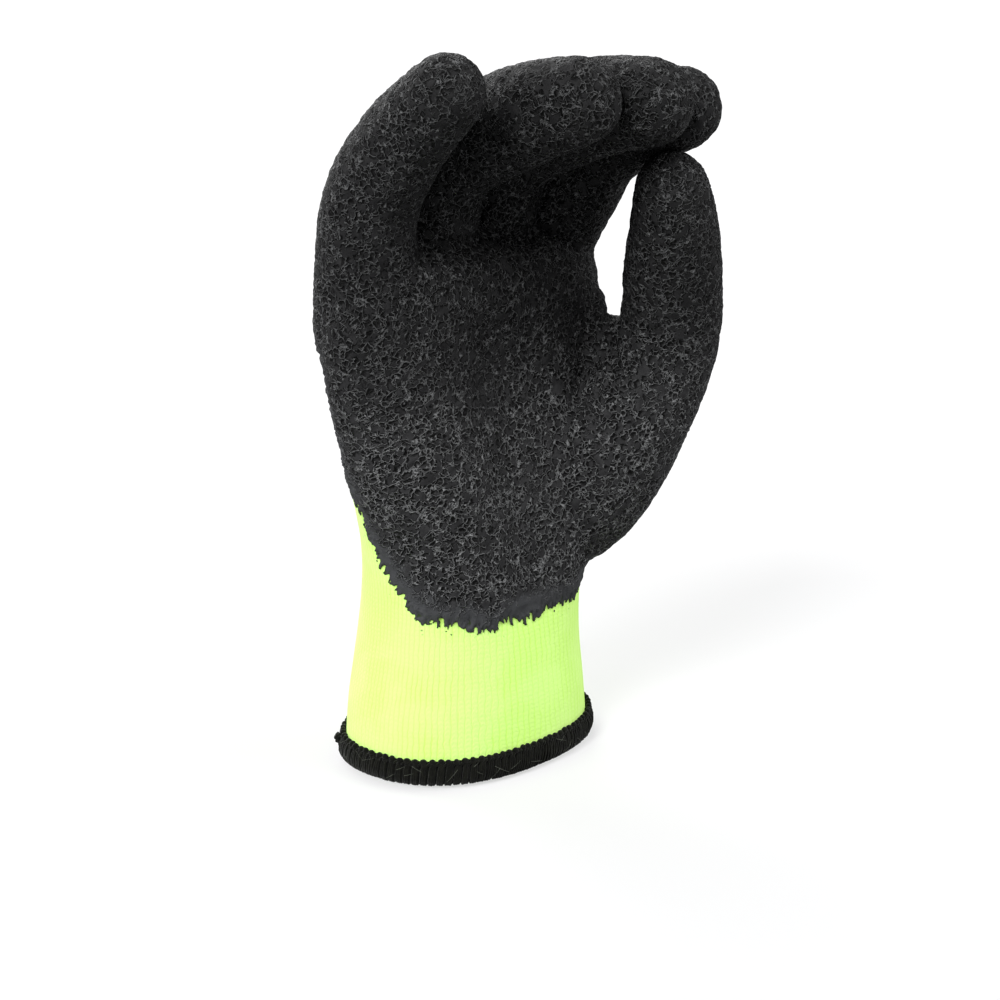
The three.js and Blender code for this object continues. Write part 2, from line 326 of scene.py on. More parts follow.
# Latex that shrank as it set: thin worm-like ridges in broken nets of a few sizes, each with a crack beside
# it. The crack is the same net shifted one way, a dip in the bump and, in the colour, a painted shadow cast
# by its ridge.
# The two outputs beside Height are masks, and Height is for the bump
def makeCrinkleGroup(plan):
    warp, gate, lumps = plan["warp"], plan["gate"], plan["lumps"]
    group, given, out = newGroup(
        "crinkle",
        {
            "Vector": ("vector", None),
            "Scale": ("value", 300.0),
            # painted shadow: which way and how far each ridge's dark crack lies from it, below the ridge and
            # away from the key lamp
            "Crack Shadow Offset": ("vector", (-0.00025, 0.00025, 0.0004)),
            "Crack Shadow Width": ("value", 3.0),
        },
        {"Ridges": "value", "Crack Shadows": "value", "Height": "value"},
    )
    scale = given["Scale"]
    place = pushPlace(group, given["Vector"], doMath(group, "MULTIPLY", scale, warp["size"]), warp["share"])
    # painted shadow: the place shifted by the crack offset, so each crack is drawn beside its ridge as the
    # ridge's shadow
    crackShadowPlace = addVectors(group, place, given["Crack Shadow Offset"])
    ridge, crackAndShadow = 0.0, 0.0
    for net in plan["nets"]:
        size = doMath(group, "MULTIPLY", scale, net["size"])
        patches = addNoise(group, place, doMath(group, "MULTIPLY", size, gate["size"]), detail=0.0)
        shown = mapRange(group, patches, net["broken"], net["broken"] + gate["soft"])
        ridge = doMath(group, "MAXIMUM", ridge, netLine(group, place, size, net["width"], shown))
        reach = doMath(group, "MULTIPLY", given["Crack Shadow Width"], net["width"])
        crackAndShadow = doMath(group, "MAXIMUM", crackAndShadow, netLine(group, crackShadowPlace, size, reach, shown))
    cloud = addNoise(group, given["Vector"], doMath(group, "MULTIPLY", scale, lumps["size"]), detail=1.0)
    swell = doMath(group, "MULTIPLY", cloud, lumps["height"])
    height = doMath(group, "MULTIPLY_ADD", crackAndShadow, plan["crackHeight"], swell)
    group.links.new(ridge, out["Ridges"])
    group.links.new(crackAndShadow, out["Crack Shadows"])
    group.links.new(doMath(group, "ADD", height, ridge), out["Height"])
    return group


# how far a count is from the middle of its own step, from 0 to 0.5
def fromMiddle(tree, count):
    return doMath(tree, "ABSOLUTE", doMath(tree, "SUBTRACT", doMath(tree, "FRACT", count), 0.5))


loopPlan = {
    "wobbleScale": 240.0,
    "grooveBand": (0.3, 0.5),  # from a column's middle to its side, in columns
    "armRise": 1.1,  # how steeply a loop's arms rise
    "strandBand": (0.5, 0.08),
}


# Knitted columns of V-shaped loops that run up a tube. Grooves is the gap between two columns, and the
# columns are counted round the tube's own oval
def makeKnitGroup(plan):
    group, given, out = newGroup(
        "knitLoops",
        {
            "Vector": ("vector", None),
            "Wales": ("value", 112.0),
            "Oval": ("value", 1.4),
            "Course": ("value", 0.0013),
            "Wobble": ("value", 0.9),
        },
        {"Loops": "value", "Grooves": "value"},
    )
    along = splitPlace(group, given["Vector"])
    stretched = doMath(group, "MULTIPLY", along["Y"], given["Oval"])
    angle = doMath(group, "ARCTAN2", stretched, along["X"])
    turns = doMath(group, "DIVIDE", angle, 2 * math.pi)
    wander = addWander(group, given["Vector"], plan["wobbleScale"])
    shift = doMath(group, "MULTIPLY", wander, given["Wobble"])
    arm = fromMiddle(group, doMath(group, "MULTIPLY_ADD", turns, given["Wales"], shift))
    groove = mapRange(group, arm, *plan["grooveBand"])
    course = doMath(group, "DIVIDE", along["Z"], given["Course"])
    tilt = doMath(group, "ADD", doMath(group, "MULTIPLY_ADD", arm, plan["armRise"], course), shift)
    strand = mapRange(group, fromMiddle(group, tilt), *plan["strandBand"])
    group.links.new(doMath(group, "MULTIPLY", strand, doMath(group, "SUBTRACT", 1.0, groove)), out["Loops"])
    group.links.new(groove, out["Grooves"])
    return group


mottlePlan = {"detail": 3.0, "distortion": 0.3, "band": (0.36, 0.64)}


# Slow mottling that varies a colour a little from place to place
def makeMottleGroup(plan):
    group, given, out = newGroup(
        "mottle",
        {
            "Vector": ("vector", None),
            "Scale": ("value", 60.0),
            "Low": ("colour", (0, 0, 0, 1)),
            "High": ("colour", (1, 1, 1, 1)),
        },
        {"Color": "colour", "Mask": "value"},
    )
    cloud = addNoise(group, given["Vector"], given["Scale"], plan["detail"], plan["distortion"])
    mask = mapRange(group, cloud, *plan["band"])
    group.links.new(mixColours(group, mask, given["Low"], given["High"]), out["Color"])
    group.links.new(mask, out["Mask"])
    return group


crinkleGroup = makeCrinkleGroup(crinklePlan)
knitGroup = makeKnitGroup(loopPlan)
mottleGroup = makeMottleGroup(mottlePlan)


def newMaterial(name):
    material = bpy.data.materials.new(name)
    material.use_nodes = True
    tree = material.node_tree
    return material, tree, tree.nodes["Principled BSDF"]


def useGroup(tree, group, **values):
    node = tree.nodes.new("ShaderNodeGroup")
    node.node_tree = group
    for label, value in values.items():
        feed(tree, value, node.inputs[label])
    return node.outputs


def objectPlace(tree):
    return tree.nodes.new("ShaderNodeTexCoord").outputs["Object"]


def readValue(tree, name):
    node = tree.nodes.new("ShaderNodeAttribute")
    node.attribute_name = name
    return node.outputs["Fac"]


def addBump(tree, shader, height, bump):
    node = tree.nodes.new("ShaderNodeBump")
    feedAll(tree, node, {"Height": height, "Strength": bump["strength"], "Distance": bump["depth"]})
    tree.links.new(node.outputs["Normal"], shader.inputs["Normal"])


latexLook = {
    # painted shadow: the near-black of the cracks that lie beside the ridges as their shadows
    "crackAndShadow": (2, 2, 2),
    "body": (53, 53, 54),
    "dull": (42, 42, 43),
    # painted highlight: the ridges are coloured far paler than the black latex, as lit crests
    "ridge": (136, 137, 138),
    "edge": (66, 67, 69),
    "rim": (46, 58, 30),
    "crinkleScale": 410.0,
    "patchScale": 260.0,
    "grain": {"scale": 2400.0, "band": (0.45, 0.3), "dark": 0.5, "height": 0.08},
    "calm": {"scale": 90.0, "band": (0.55, 0.72), "least": 0.6},  # patches where the crinkle is fainter
    "bump": {"strength": 1.0, "depth": 1.2 * mm},
    "rimWidth": 0.7 * mm,
    "smoothBand": (2.5 * mm, 7.5 * mm),  # where the crinkle starts, and where it is full, in from the edge
    "wander": {"scale": 160.0, "reach": 6 * mm},  # of that band
    "shadeHeights": (85 * mm, 128 * mm),  # painted shade: paler at the palm's heel and darker up the fingers, as shade falls on the upper hand
    "fingerShade": 0.52,
    "roughness": (0.65, 0.5),  # of the flats and of the ridges
    "finish": {"Specular IOR Level": 0.12},
}


def makeLatexMaterial(look):
    material, tree, shader = newMaterial("crinkleLatex")
    place = objectPlace(tree)
    crinkle = useGroup(tree, crinkleGroup, Vector=place, Scale=look["crinkleScale"])
    inland = readValue(tree, "inland")
    wander = addWander(tree, place, look["wander"]["scale"])
    start = doMath(tree, "MULTIPLY_ADD", wander, look["wander"]["reach"], inland)
    wrinkled = mapRange(tree, start, *look["smoothBand"])
    patches = addNoise(tree, place, look["calm"]["scale"])
    calm = mapRange(tree, patches, *look["calm"]["band"], 1.0, look["calm"]["least"])
    grain = addNoise(tree, place, look["grain"]["scale"])
    pits = mapRange(tree, grain, *look["grain"]["band"], 0.0, look["grain"]["dark"])
    dull, body = linear(*look["dull"]), linear(*look["body"])
    mottled = useGroup(tree, mottleGroup, Vector=place, Scale=look["patchScale"], Low=dull, High=body)
    # painted shadow: the cracks beside the ridges darken the ground to near-black, together with the grain's
    # small dark pits
    dark = doMath(tree, "MAXIMUM", doMath(tree, "MULTIPLY", crinkle["Crack Shadows"], calm), pits)
    shadowedGround = mixColours(tree, dark, mottled["Color"], linear(*look["crackAndShadow"]))
    # painted highlight: the ridges take their pale colour
    ridgeHighlights = doMath(tree, "MULTIPLY", crinkle["Ridges"], calm)
    highlighted = mixColours(tree, ridgeHighlights, shadowedGround, linear(*look["ridge"]))
    edgeRing = mapRange(tree, inland, 0.0, look["rimWidth"])
    smooth = mixColours(tree, edgeRing, linear(*look["rim"]), linear(*look["edge"]))
    coloured = mixColours(tree, wrinkled, smooth, highlighted)
    # painted shade: the colour darkens upwards from the palm's heel to the fingers
    heightShade = mapRange(tree, splitPlace(tree, place)["Z"], *look["shadeHeights"], 1.0, look["fingerShade"])
    tree.links.new(scaleVector(tree, coloured, heightShade), shader.inputs["Base Color"])
    relief = doMath(tree, "MULTIPLY", crinkle["Height"], doMath(tree, "MULTIPLY", wrinkled, calm))
    addBump(tree, shader, doMath(tree, "MULTIPLY_ADD", grain, look["grain"]["height"], relief), look["bump"])
    rough = mapRange(tree, crinkle["Ridges"], 0.0, 1.0, *look["roughness"])
    tree.links.new(rough, shader.inputs["Roughness"])
    feedAll(tree, shader, look["finish"])
    return material


knitLook = {
    "shade": (190, 231, 119),
    "light": (194, 233, 127),
    # painted shade: the darker, greener colour of the gaps between the knit's columns
    "groove": (178, 224, 92),
    "stain": (120, 150, 50),  # where latex has soaked in past its edge
    "speck": (40, 44, 30),
    "cloudScale": 70.0,
    "wales": 112.0,
    "course": 1.3 * mm,
    "grooveShadeDepth": (0.75, 0.3),  # painted shade: how dark the grooves are coloured where the cloud is dark and where it is light
    "stainBand": (-0.3 * mm, 2.5 * mm),
    "stainShare": 0.6,
    "speckScale": 620.0,
    "speckSize": (0.2, 0.27),
    "speckPatches": {"scale": 300.0, "band": (0.56, 0.6)},
    "speckBand": (-4.5 * mm, -0.8 * mm),
    "fuzzScale": 1500.0,
    "heights": {"fuzz": 0.6, "loops": 0.4, "grooves": -0.6},
    "bump": {"strength": 0.7, "depth": 0.16 * mm},
    "finish": {
        "Roughness": 0.95,
        "Specular IOR Level": 0.15,
        "Sheen Weight": 0.15,
        "Sheen Roughness": 0.5,
        "Emission Strength": 0.45,  # painted light: a glow of fixed strength in the yarn's own colour, standing in for fluorescence and lifting its shaded sides
    },
}


def makeKnitMaterial(look):
    material, tree, shader = newMaterial("hiVisKnit")
    place = objectPlace(tree)
    loops = useGroup(tree, knitGroup, Vector=place, Wales=look["wales"], Course=look["course"])
    shade, light = linear(*look["shade"]), linear(*look["light"])
    cloud = useGroup(tree, mottleGroup, Vector=place, Scale=look["cloudScale"], Low=shade, High=light)
    # painted shade: the grooves between the columns are coloured darker
    depth = mapRange(tree, cloud["Mask"], 0.0, 1.0, *look["grooveShadeDepth"])
    deep = doMath(tree, "MULTIPLY", loops["Grooves"], depth)
    grooveShaded = mixColours(tree, deep, cloud["Color"], linear(*look["groove"]))
    away = readValue(tree, "coatDepth")
    soaked = mapRange(tree, away, *look["stainBand"], 0.0, look["stainShare"])
    stained = mixColours(tree, soaked, grooveShaded, linear(*look["stain"]))
    spots = mapRange(tree, addCells(tree, place, look["speckScale"], "F1"), *look["speckSize"], 1.0, 0.0)
    patches = addNoise(tree, place, look["speckPatches"]["scale"])
    sparse = mapRange(tree, patches, *look["speckPatches"]["band"])
    near = mapRange(tree, away, *look["speckBand"])
    share = doMath(tree, "MULTIPLY", doMath(tree, "MULTIPLY", spots, sparse), near)
    coloured = mixColours(tree, share, stained, linear(*look["speck"]))
    tree.links.new(coloured, shader.inputs["Base Color"])
    # painted light: the yarn glows in its own colour
    tree.links.new(coloured, shader.inputs["Emission Color"])
    fuzz = addNoise(tree, place, look["fuzzScale"], detail=3.0)
    heights = look["heights"]
    yarn = doMath(tree, "MULTIPLY", loops["Loops"], heights["loops"])
    relief = doMath(tree, "MULTIPLY_ADD", fuzz, heights["fuzz"], yarn)
    height = doMath(tree, "MULTIPLY_ADD", loops["Grooves"], heights["grooves"], relief)
    addBump(tree, shader, height, look["bump"])
    feedAll(tree, shader, look["finish"])
    return material


threadLook = {
    "thread": {"dark": (3, 4, 1), "light": (15, 16, 9), "mottle": 700.0},
    "roll": {"dark": (5, 6, 4), "light": (14, 15, 10), "mottle": 900.0},
    "fibre": {"dark": (48, 52, 44), "light": (96, 100, 90), "mottle": 300.0},
    "twistScale": 2400.0,
    "bump": {"strength": 0.7, "depth": 0.2 * mm},
    "finish": {"Roughness": 0.9, "Specular IOR Level": 0.15, "Sheen Weight": 0.1, "Sheen Roughness": 0.5},
}


def makeThreadMaterial(name, colours, look):
    material, tree, shader = newMaterial(name)
    place = objectPlace(tree)
    dark, light = linear(*colours["dark"]), linear(*colours["light"])
    cloud = useGroup(tree, mottleGroup, Vector=place, Scale=colours["mottle"], Low=dark, High=light)
    tree.links.new(cloud["Color"], shader.inputs["Base Color"])
    addBump(tree, shader, addNoise(tree, place, look["twistScale"]), look["bump"])
    feedAll(tree, shader, look["finish"])
    return material


latexMaterial = makeLatexMaterial(latexLook)
knitMaterial = makeKnitMaterial(knitLook)
threadMaterial = makeThreadMaterial("overlockThread", threadLook["thread"], threadLook)
rollMaterial = makeThreadMaterial("bindingCore", threadLook["roll"], threadLook)
fibreMaterial = makeThreadMaterial("looseFibre", threadLook["fibre"], threadLook)
print("materials are built")


# The glove's skin: the outer face of the knit, made smooth and even

skinPlan = {
    "edgeHeight": 1.5 * mm,  # where the knit ends at the hem
    "tolerance": 0.01 * mm,
    "merge": 0.001 * mm,
    "overrun": 9 * mm,  # how far below the hem the form goes on
    "smoothing": 0.5,
    "regain": 0.45 * mm,  # what the smoothing takes off a finger all round
    "fine": {"voxel": 0.85 * mm, "passes": 58},
    "coarse": {"voxel": 1.4 * mm, "passes": 21},
}


# the outer face of the frame's knit, with its hem end closed below the hem
def makeShell(plan):
    bm = bmesh.new()
    bm.from_mesh(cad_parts["knit_liner"].data)
    bmesh.ops.remove_doubles(bm, verts=bm.verts, dist=plan["merge"])
    # the rim joins the outer and the inner face, so without it they come apart
    level = plan["edgeHeight"] + plan["tolerance"]
    rim = [face for face in bm.faces if all(v.co.z < level for v in face.verts)]
    bmesh.ops.delete(bm, geom=rim, context="FACES")
    outermost = max(bm.verts, key=lambda v: v.co.x)
    outer, reached = {outermost}, [outermost]
    while reached:
        for edge in reached.pop().link_edges:
            for vert in edge.verts:
                if vert not in outer:
                    outer.add(vert)
                    reached.append(vert)
    bmesh.ops.delete(bm, geom=[v for v in bm.verts if v not in outer], context="VERTS")
    border = [edge for edge in bm.edges if edge.is_boundary]
    grown = bmesh.ops.extrude_edge_only(bm, edges=border)["geom"]
    lowered = [g for g in grown if isinstance(g, bmesh.types.BMVert)]
    bmesh.ops.translate(bm, verts=lowered, vec=(0, 0, -plan["overrun"]))
    bmesh.ops.holes_fill(bm, edges=[edge for edge in bm.edges if edge.is_boundary], sides=0)
    bmesh.ops.triangulate(bm, faces=bm.faces)
    bmesh.ops.recalc_face_normals(bm, faces=bm.faces)
    return meshFrom(bm, "shell")


# dents and swellings of the worn form, in mm: where it is pushed, which way and how far, and over what reach
skinDents = [
    {"place": (40.6, -17.2, 118.4), "push": (0, 0, -4.2), "reach": 6.5},  # the web beside the thumb
    {"place": (37.0, -15.2, 118.0), "push": (0.4, -0.6, 3.6), "reach": 4.2},  # the web beside the palm
    {"place": (41.5, -11.2, 119.0), "push": (1.7, -1.9, 0), "reach": 5.5},  # the palm beside the web
    {"place": (34.0, -26.6, 122.5), "push": (1.0, -1.1, 0), "reach": 7.0},  # the thumb beside the web
    {"place": (-39.7, -11.9, 138.7), "push": (0.3, 1.7, -0.3), "reach": 6.0},  # the little finger's base
    {"place": (-36.0, -13.1, 132.0), "push": (0.4, 1.2, -0.3), "reach": 5.0},
]


def pushDents(points):
    for dent in skinDents:
        away = np.linalg.norm(points - np.array(dent["place"]) * mm, axis=1) / (dent["reach"] * mm)
        share = np.clip(1 - away * away, 0, 1) ** 2
        points = points + share[:, None] * np.array(dent["push"]) * mm
    return points


def makeSkin(shell, plan, grade):
    skin = addObject("skinForm", shell.copy())
    remesh = skin.modifiers.new("remesh", "REMESH")
    remesh.mode = "VOXEL"
    remesh.voxel_size = grade["voxel"]
    smooth = skin.modifiers.new("smooth", "SMOOTH")
    smooth.factor = plan["smoothing"]
    smooth.iterations = grade["passes"]
    applyModifiers(skin)
    mesh = skin.data
    writePoints(mesh, pushDents(readPoints(mesh) + readNormals(mesh) * plan["regain"]))
    bpy.data.objects.remove(skin)
    return mesh


shell = makeShell(skinPlan)
fineSkin = makeSkin(shell, skinPlan, skinPlan["fine"])
coarseSkin = makeSkin(shell, skinPlan, skinPlan["coarse"])
print("skin:", len(fineSkin.vertices), "and", len(coarseSkin.vertices), "vertices")


# The latex's edge, the same as the frame's, in mm and degrees. At each height the glove is coated on the
# palm's side of front, a line that is turned by turn
coatEdge = [
    {"height": 38.0, "front": -63.3, "turn": -12},
    {"height": 40.6, "front": -29.5, "turn": -12},
    {"height": 43.3, "front": -17.9, "turn": -12},
    {"height": 52.8, "front": -8.4, "turn": -12},
    {"height": 65.4, "front": 1.1, "turn": -6},
    {"height": 80.2, "front": 8.4, "turn": 0},
    {"height": 113.9, "front": 9.5, "turn": 0},
    {"height": 128.7, "front": 21.1, "turn": 0},
    {"height": 141.4, "front": 63.3, "turn": 0},
    {"height": 253.2, "front": 63.3, "turn": 0},
]


# how far in from that edge each point is, below 0 where it is bare, and the way to the point from the
# edge's nearest place
def coatOffsets(points):
    rows = coatEdge
    heights = [row["height"] * mm for row in rows]
    turn = np.radians(np.interp(points[:, 2], heights, [row["turn"] for row in rows]))
    front = -points[:, 0] * np.sin(turn) + points[:, 1] * np.cos(turn)
    edgeFront = np.interp(points[:, 2], heights, [row["front"] * mm for row in rows])
    inside = np.where((points[:, 2] > heights[0]) & (front < edgeFront), 1.0, -1.0)
    nearest = np.full(len(points), np.inf)
    way = np.zeros((len(points), 2))
    for low, high in zip(rows, rows[1:]):
        start = np.array([low["front"], low["height"]]) * mm
        along = np.array([high["front"], high["height"]]) * mm - start
        offset = np.stack([front, points[:, 2]], 1) - start
        share = np.clip(offset @ along / (along @ along), 0, 1)
        gap = offset - share[:, None] * along
        length = np.linalg.norm(gap, axis=1)
        way = np.where((length < nearest)[:, None], gap, way)
        nearest = np.minimum(nearest, length)
    return inside * nearest, np.stack([-way[:, 0] * np.sin(turn), way[:, 0] * np.cos(turn), way[:, 1]], 1)


def coatDepth(points):
    return coatOffsets(points)[0]


# the edge's waves and its teeth, which end in points because they follow the crests of a noise
raggedEdge = {
    "reach": 9 * mm,
    "waves": [{"scale": 95.0, "depth": 1.6 * mm}, {"scale": 260.0, "depth": 0.7 * mm}],
    "teeth": [{"scale": 330.0, "depth": 1.6 * mm}, {"scale": 800.0, "depth": 2.2 * mm}],
    "middle": 0.62,  # how high on a tooth the edge's own line runs
    "straight": 0.75,  # how far the teeth stand square to the edge
}


def raggedDepth(points):
    depth, way = coatOffsets(points)
    places = points - way * raggedEdge["straight"]
    for i in np.nonzero(np.abs(depth) < raggedEdge["reach"])[0]:
        place = Vector(places[i])
        for row in raggedEdge["waves"]:
            depth[i] += noise.noise(place * row["scale"]) * row["depth"]
        for row in raggedEdge["teeth"]:
            crest = 1 - 2 * abs(noise.noise(place * row["scale"]))
            depth[i] += (crest - raggedEdge["middle"]) * row["depth"]
    return depth


# The latex: the skin carried outwards, thinning to its ragged edge
latexPlan = {
    "thickness": 1.15 * mm,
    "lift": 0.05 * mm,
    "edgeThickness": 0.25 * mm,
    "taper": 4 * mm,
    "kept": 4 * mm,  # how far past the edge's line the skin is cut first
    "fineBand": 2.4 * mm,
    "fineCuts": 2,
    "smallest": 60,  # an island of fewer faces at the edge goes
    "lumps": [{"scale": 260.0, "depth": 0.3 * mm}, {"scale": 560.0, "depth": 0.28 * mm}],
    "flat": 0.25,  # the noise that neither raises nor lowers it
}


# slides the vertices beside the edge onto it, then takes off what lies past it
def cutAtEdge(bm, depth):
    moves = {}
    for edge in bm.edges:
        a, b = (v.index for v in edge.verts)
        if depth[a] * depth[b] < 0:
            share = depth[a] / (depth[a] - depth[b])
            meeting = edge.verts[0].co.lerp(edge.verts[1].co, share)
            mover = a if share < 0.5 else b
            best = min(share, 1 - share)
            if mover not in moves or moves[mover][0] > best:
                moves[mover] = (best, meeting)
    for i, (_, meeting) in moves.items():
        bm.verts[i].co = meeting
        depth[i] = 0
    past = [f for f in bm.faces if min(depth[v.index] for v in f.verts) < 0]
    bmesh.ops.delete(bm, geom=past, context="FACES")
    bmesh.ops.delete(bm, geom=[v for v in bm.verts if not v.link_faces], context="VERTS")


def dropIslands(bm, smallest):
    waiting = set(bm.faces)
    while waiting:
        island, reached = set(), [waiting.pop()]
        while reached:
            face = reached.pop()
            island.add(face)
            for edge in face.edges:
                for other in edge.link_faces:
                    if other in waiting:
                        waiting.remove(other)
                        reached.append(other)
        if len(island) < smallest:
            bmesh.ops.delete(bm, geom=list(island), context="FACES")
    bmesh.ops.delete(bm, geom=[v for v in bm.verts if not v.link_faces], context="VERTS")


def makeLatex(plan):
    bm = bmesh.new()
    bm.from_mesh(fineSkin)
    depth = coatDepth(readPoints(fineSkin))
    bm.verts.ensure_lookup_table()
    far = [bm.verts[i] for i in np.nonzero(depth < -plan["kept"])[0]]
    bmesh.ops.delete(bm, geom=far, context="VERTS")
    bm.verts.ensure_lookup_table()
    depth = coatDepth(np.array([v.co[:] for v in bm.verts]))
    bm.verts.index_update()
    near = [e for e in bm.edges if all(abs(depth[v.index]) < plan["fineBand"] for v in e.verts)]
    bmesh.ops.subdivide_edges(bm, edges=near, cuts=plan["fineCuts"], use_grid_fill=True)
    bm.verts.ensure_lookup_table()
    bm.verts.index_update()
    cutAtEdge(bm, raggedDepth(np.array([v.co[:] for v in bm.verts])))
    dropIslands(bm, plan["smallest"])
    mesh = meshFrom(bm, "latexSkin")
    points = readPoints(mesh)
    inland = np.maximum(raggedDepth(points), 0)
    rise = np.clip(inland / plan["taper"], 0, 1)
    rise = rise * rise * (3 - 2 * rise)
    lumps = np.zeros(len(points))
    for row in plan["lumps"]:
        crests = np.array([abs(noise.noise(Vector(p) * row["scale"])) for p in points])
        lumps += (plan["flat"] - crests) * 2 * row["depth"]
    thick = plan["edgeThickness"] + (plan["thickness"] - plan["edgeThickness"] + lumps) * rise
    writePoints(mesh, points + readNormals(mesh) * (plan["lift"] + thick)[:, None])
    writeAttribute(mesh, "inland", inland)
    thing = addObject("crinkleLatexCoat", mesh)
    wall = thing.modifiers.new("wall", "SOLIDIFY")
    wall.thickness = plan["edgeThickness"] + plan["lift"]
    wall.offset = -1
    wall.use_rim_only = True
    mesh.materials.append(latexMaterial)
    mesh.shade_smooth()
    applyModifiers(thing)
    return thing


latexCoat = makeLatex(latexPlan)
print("latex:", len(latexCoat.data.polygons), "faces")


# The knit: the skin with its wall, sunk a little under the latex so that it shows through in no crease
knitPlan = {"wall": 1.8 * mm, "sunk": 0.7 * mm, "sunkBand": (2.5 * mm, 6 * mm)}


def makeKnit(plan):
    bm = bmesh.new()
    bm.from_mesh(coarseSkin)
    bmesh.ops.bisect_plane(
        bm,
        geom=bm.verts[:] + bm.edges[:] + bm.faces[:],
        plane_co=(0, 0, skinPlan["edgeHeight"]),
        plane_no=(0, 0, -1),
        clear_outer=True,
    )
    mesh = meshFrom(bm, "knitSkin")
    points = readPoints(mesh)
    depth = coatDepth(points)
    share = np.interp(depth, plan["sunkBand"], (0, 1))
    writePoints(mesh, points - readNormals(mesh) * (share * plan["sunk"])[:, None])
    writeAttribute(mesh, "coatDepth", depth)
    thing = addObject("knitGlove", mesh)
    wall = thing.modifiers.new("wall", "SOLIDIFY")
    wall.thickness = plan["wall"]
    wall.offset = -1
    mesh.materials.append(knitMaterial)
    mesh.shade_smooth()
    applyModifiers(thing)
    return thing


knitGlove = makeKnit(knitPlan)
print("knit:", len(knitGlove.data.polygons), "faces")


# The binding: a rolled base round the hem with the overlock threads over it

hemPlan = {
    "centre": Vector((0.2, 0, 0)) * mm,
    "wide": 36.7 * mm,
    "deep": 26.9 * mm,
    "roundness": 0.87,
    "top": 7.2,  # in mm, as the section's heights are
    "stitches": 94,
    "segments": 160,
    "measures": 2000,  # how many short steps its length is measured in
}

# the roll's section in mm, from the inside round to the outside: how far out of the knit's outer face, and
# how high
rollSection = [
    {"out": -3.0, "height": 6.8},
    {"out": -3.0, "height": 1.7},
    {"out": -2.4, "height": 0.8},
    {"out": -1.2, "height": 0.4},
    {"out": 0.5, "height": 0.5},
    {"out": 1.4, "height": 1.2},
    {"out": 1.8, "height": 2.6},
    {"out": 1.7, "height": 4.6},
    {"out": 1.1, "height": 6.2},
    {"out": 0.4, "height": 7.0},
]


def hemPoint(turn, out, height):
    angle = 2 * math.pi * turn
    power = hemPlan["roundness"]
    cosine, sine = math.cos(angle), math.sin(angle)
    across = math.copysign(abs(cosine) ** power, cosine)
    lift = math.copysign(abs(sine) ** power, sine)
    wide, deep = hemPlan["wide"] + out, hemPlan["deep"] + out
    return hemPlan["centre"] + Vector((wide * across, deep * lift, height))


# turns at even distances along the hem
def evenTurns(count):
    measures = hemPlan["measures"]
    corners = [hemPoint(k / measures, 0, 0) for k in range(measures + 1)]
    lengths = np.cumsum([0] + [(b - a).length for a, b in zip(corners, corners[1:])])
    places = np.linspace(0, lengths[-1], count, endpoint=False)
    return np.interp(places, lengths, np.linspace(0, 1, measures + 1))


def makeRoll():
    bm = bmesh.new()
    turns = evenTurns(hemPlan["segments"])
    # a ribbon of the section, spun at this distance and then laid along the hem's oval
    spinRadius = 1
    section = [bm.verts.new((spinRadius + row["out"] * mm, 0, row["height"] * mm)) for row in rollSection]
    edges = [bm.edges.new(pair) for pair in zip(section, section[1:])]
    bmesh.ops.spin(
        bm,
        geom=section + edges,
        cent=(0, 0, 0),
        axis=(0, 0, 1),
        angle=2 * math.pi,
        steps=len(turns),
        use_merge=True,
    )
    bmesh.ops.recalc_face_normals(bm, faces=bm.faces)
    for vert in bm.verts:
        spoke = math.hypot(vert.co.x, vert.co.y)
        share = (math.atan2(vert.co.y, vert.co.x) / (2 * math.pi)) % 1
        turn = turns[round(share * len(turns)) % len(turns)]
        vert.co = hemPoint(turn, spoke - spinRadius, vert.co.z)
    thing = addObject("bindingRoll", meshFrom(bm, "bindingRoll"))
    thing.data.materials.append(rollMaterial)
    thing.data.shade_smooth()
    return thing


# tubes along lines of (place, share of the radius)
def tubesFrom(name, lines, radius, roundness, material):
    curve = bpy.data.curves.new(name, "CURVE")
    curve.dimensions = "3D"
    curve.bevel_depth = radius
    curve.bevel_resolution = roundness
    curve.use_fill_caps = True
    for line in lines:
        spline = curve.splines.new("POLY")
        spline.points.add(len(line) - 1)
        for point, (place, thick) in zip(spline.points, line):
            point.co = (*place, 1)
            point.radius = thick
    holder = addObject(name, curve)
    graph = bpy.context.evaluated_depsgraph_get()
    mesh = bpy.data.meshes.new_from_object(holder.evaluated_get(graph))
    bpy.data.objects.remove(holder)
    mesh.name = name
    thing = addObject(name, mesh)
    mesh.materials.clear()
    mesh.materials.append(material)
    mesh.shade_smooth()
    return thing


threadPlan = {
    "plies": 3,
    "plyRadius": 0.42 * mm,
    "plySpread": 0.29,  # of a stitch, from the middle ply to an outer one
    "slant": 0.45,
    "slantRange": (0.6, 1.4),
    "tightRange": (0.9, 1.1),
    "bulge": (0.05, 0.22),
    "outerFrom": -1,  # the section's out from which a thread counts as outside
    "innerSlant": -0.6,
    "innerBulge": -0.1,
    "pinch": 0.55,  # how much closer the plies are at the top
    "pinchPower": 4,
    "waver": 0.07,
    "lowest": 0.42,
    "seed": 11,
}


